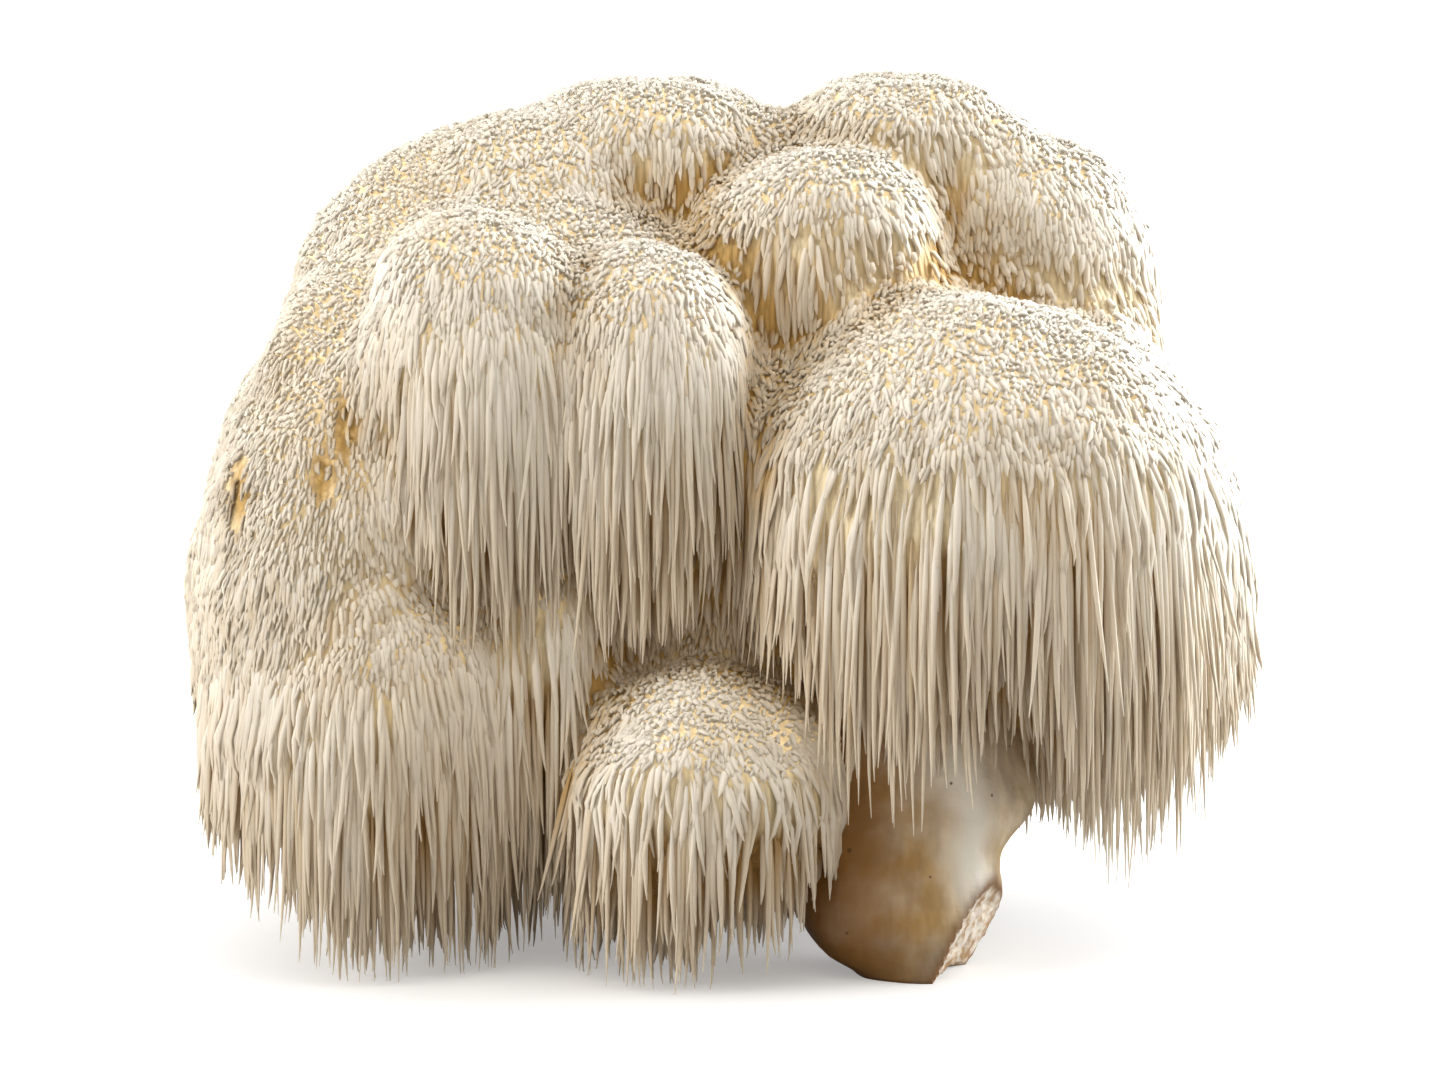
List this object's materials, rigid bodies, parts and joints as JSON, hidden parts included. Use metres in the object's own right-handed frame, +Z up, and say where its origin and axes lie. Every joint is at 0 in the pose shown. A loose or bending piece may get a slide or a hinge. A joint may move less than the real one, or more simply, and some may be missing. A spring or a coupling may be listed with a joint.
{
  "type": "lion's mane mushroom",
  "caption": "Lobed fungus head hung all over with soft tapering spines, on a short bare stem with a torn foot, standing on its spine ends.",
  "frame": {"origin": "middle of the bounding box, on the table that the mushroom stands on", "axes": "+X to the right along the widest way of the head, +Y to the back, +Z up"},
  "size_m": [0.1703, 0.1209, 0.1365],
  "materials": {
    "head": "matte",
    "stem": "satin"
  },
  "bodies": {
    "root": {"head": "head", "stem": "stem"}
  },
  "joints": []
}
